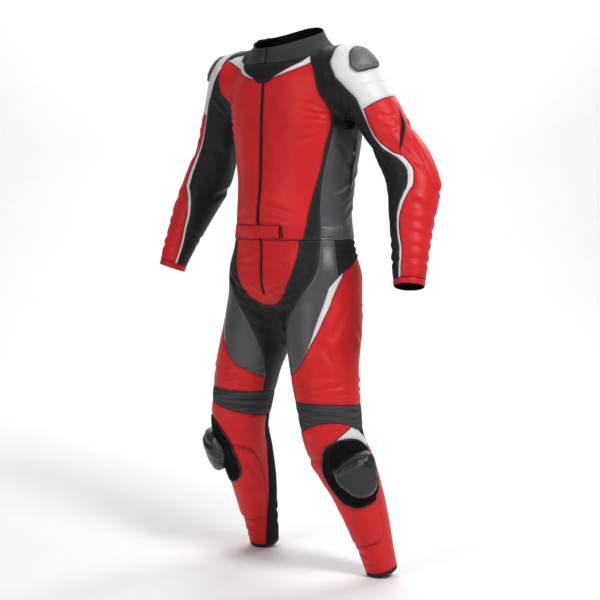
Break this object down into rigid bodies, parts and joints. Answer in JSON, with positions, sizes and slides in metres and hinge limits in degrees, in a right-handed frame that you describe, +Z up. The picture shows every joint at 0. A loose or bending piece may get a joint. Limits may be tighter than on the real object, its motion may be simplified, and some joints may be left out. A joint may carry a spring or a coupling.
{
  "type": "motorcycle race suit",
  "caption": "Worn, empty two-piece leather race suit: zipped jacket with hard shoulder cups, and trousers with ribbed stretch bands and hard knee sliders.",
  "frame": {"origin": "middle of the neck's base, where the wearer holds the suit up", "axes": "+Z up, the front faces -Y, the garment's left is +X"},
  "size_m": [0.8728, 0.2605, 1.3305],
  "materials": {
    "red": "smooth leather",
    "black": "matte leather",
    "stretch": "ribbed stretch cloth",
    "grey": "smooth leather",
    "white": "smooth leather",
    "hard": "moulded plastic",
    "tape": "woven tape and hook-and-loop",
    "cup": "satin metal",
    "metal": "plated zip slider"
  },
  "bodies": {
    "root": {"back": "red", "belt_tab": "red", "calf_left": "stretch", "calf_right": "stretch", "collar": "black", "cuff_left": "red", "cuff_right": "red", "flash_left": "white", "flash_right": "white", "fly_panel": "red", "fly_zip": "tape", "front_left": "red", "front_right": "red", "front_zip": "tape", "gusset_left": "stretch", "gusset_right": "stretch", "hem_left": "black", "hem_right": "black", "inner_leg_left": "stretch", "inner_leg_right": "stretch", "knee_band_left": "stretch", "knee_band_right": "stretch", "knee_flash_left": "white", "knee_flash_right": "white", "knee_patch_left": "tape", "knee_patch_right": "tape", "knee_puck_left": "hard", "knee_puck_right": "hard", "piping_left": "white", "piping_right": "white", "shin_left": "red", "shin_right": "red", "shoulder_cup_left": "cup", "shoulder_cup_right": "cup", "shoulder_left": "white", "shoulder_right": "white", "side_left": "grey", "side_right": "grey", "side_strip_left": "stretch", "side_strip_right": "stretch", "side_tab_left": "grey", "side_tab_right": "grey", "sleeve_inner_left": "stretch", "sleeve_inner_right": "stretch", "sleeve_left": "red", "sleeve_right": "red", "thigh_flash_left": "white", "thigh_flash_right": "white", "thigh_front_left": "grey", "thigh_front_right": "grey", "thigh_left": "red", "thigh_right": "red", "throat_yoke": "black", "waist_stretch": "stretch", "zip_slider_left": "metal", "zip_slider_right": "metal"}
  },
  "joints": []
}
